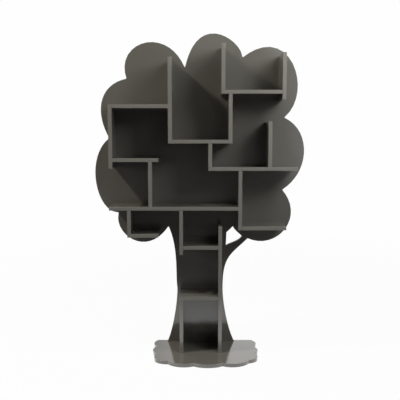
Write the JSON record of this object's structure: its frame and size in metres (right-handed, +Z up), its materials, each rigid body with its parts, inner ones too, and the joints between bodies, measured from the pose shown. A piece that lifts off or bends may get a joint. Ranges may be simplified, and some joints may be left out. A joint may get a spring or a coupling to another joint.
{
  "type": "bookcase",
  "caption": "Tree shaped bookcase: a silhouette back panel with lobed crown and branch, staggered shelves and uprights, on a scalloped base plate.",
  "frame": {"origin": "middle of the base plate's underside, on the floor", "axes": "+Z up, +Y from the open front to the back panel, +X to the right seen from the front"},
  "size_m": [1.0747, 0.3469, 1.6163],
  "materials": {
    "lacquered_board": "satin dark taupe lacquer on fibreboard",
    "zinc_steel": "zinc plated"
  },
  "bodies": {
    "root": {"back_panel": "lacquered_board", "back_panel_foot_screw_1": "zinc_steel", "back_panel_foot_screw_2": "zinc_steel", "back_panel_foot_screw_3": "zinc_steel", "base_plate": "lacquered_board", "centre_hanging_upright": "lacquered_board", "centre_hanging_upright_screw": "zinc_steel", "crown_centre_upright": "lacquered_board", "crown_centre_upright_screw": "zinc_steel", "crown_top_left_upright": "lacquered_board", "crown_top_left_upright_screw": "zinc_steel", "crown_top_right_upright": "lacquered_board", "crown_top_right_upright_screw": "zinc_steel", "left_crown_upright": "lacquered_board", "left_crown_upright_screw_1": "zinc_steel", "left_crown_upright_screw_2": "zinc_steel", "left_inner_upright": "lacquered_board", "left_inner_upright_screw": "zinc_steel", "left_lower_upright": "lacquered_board", "left_lower_upright_screw": "zinc_steel", "left_outer_upright": "lacquered_board", "left_outer_upright_screw_1": "zinc_steel", "left_outer_upright_screw_2": "zinc_steel", "long_centre_shelf": "lacquered_board", "long_centre_shelf_screw_1": "zinc_steel", "long_centre_shelf_screw_2": "zinc_steel", "lower_left_shelf": "lacquered_board", "lower_left_shelf_screw": "zinc_steel", "lower_right_shelf": "lacquered_board", "lower_right_shelf_screw": "zinc_steel", "middle_left_shelf": "lacquered_board", "middle_left_shelf_screw": "zinc_steel", "middle_right_shelf": "lacquered_board", "middle_right_shelf_screw_1": "zinc_steel", "middle_right_shelf_screw_2": "zinc_steel", "right_book_upright": "lacquered_board", "right_book_upright_screw": "zinc_steel", "right_lower_upright": "lacquered_board", "right_lower_upright_screw": "zinc_steel", "trunk_foot_upright": "lacquered_board", "trunk_foot_upright_foot_screw": "zinc_steel", "trunk_foot_upright_screw": "zinc_steel", "trunk_head_upright": "lacquered_board", "trunk_head_upright_screw": "zinc_steel", "trunk_lower_shelf": "lacquered_board", "trunk_lower_shelf_screw": "zinc_steel", "trunk_tall_upright": "lacquered_board", "trunk_tall_upright_foot_screw": "zinc_steel", "trunk_tall_upright_screw_1": "zinc_steel", "trunk_tall_upright_screw_2": "zinc_steel", "trunk_upper_shelf": "lacquered_board", "trunk_upper_shelf_screw": "zinc_steel", "upper_centre_shelf": "lacquered_board", "upper_centre_shelf_screw_1": "zinc_steel", "upper_centre_shelf_screw_2": "zinc_steel", "upper_left_shelf": "lacquered_board", "upper_left_shelf_screw": "zinc_steel", "upper_right_shelf": "lacquered_board", "upper_right_shelf_screw": "zinc_steel"}
  },
  "joints": []
}
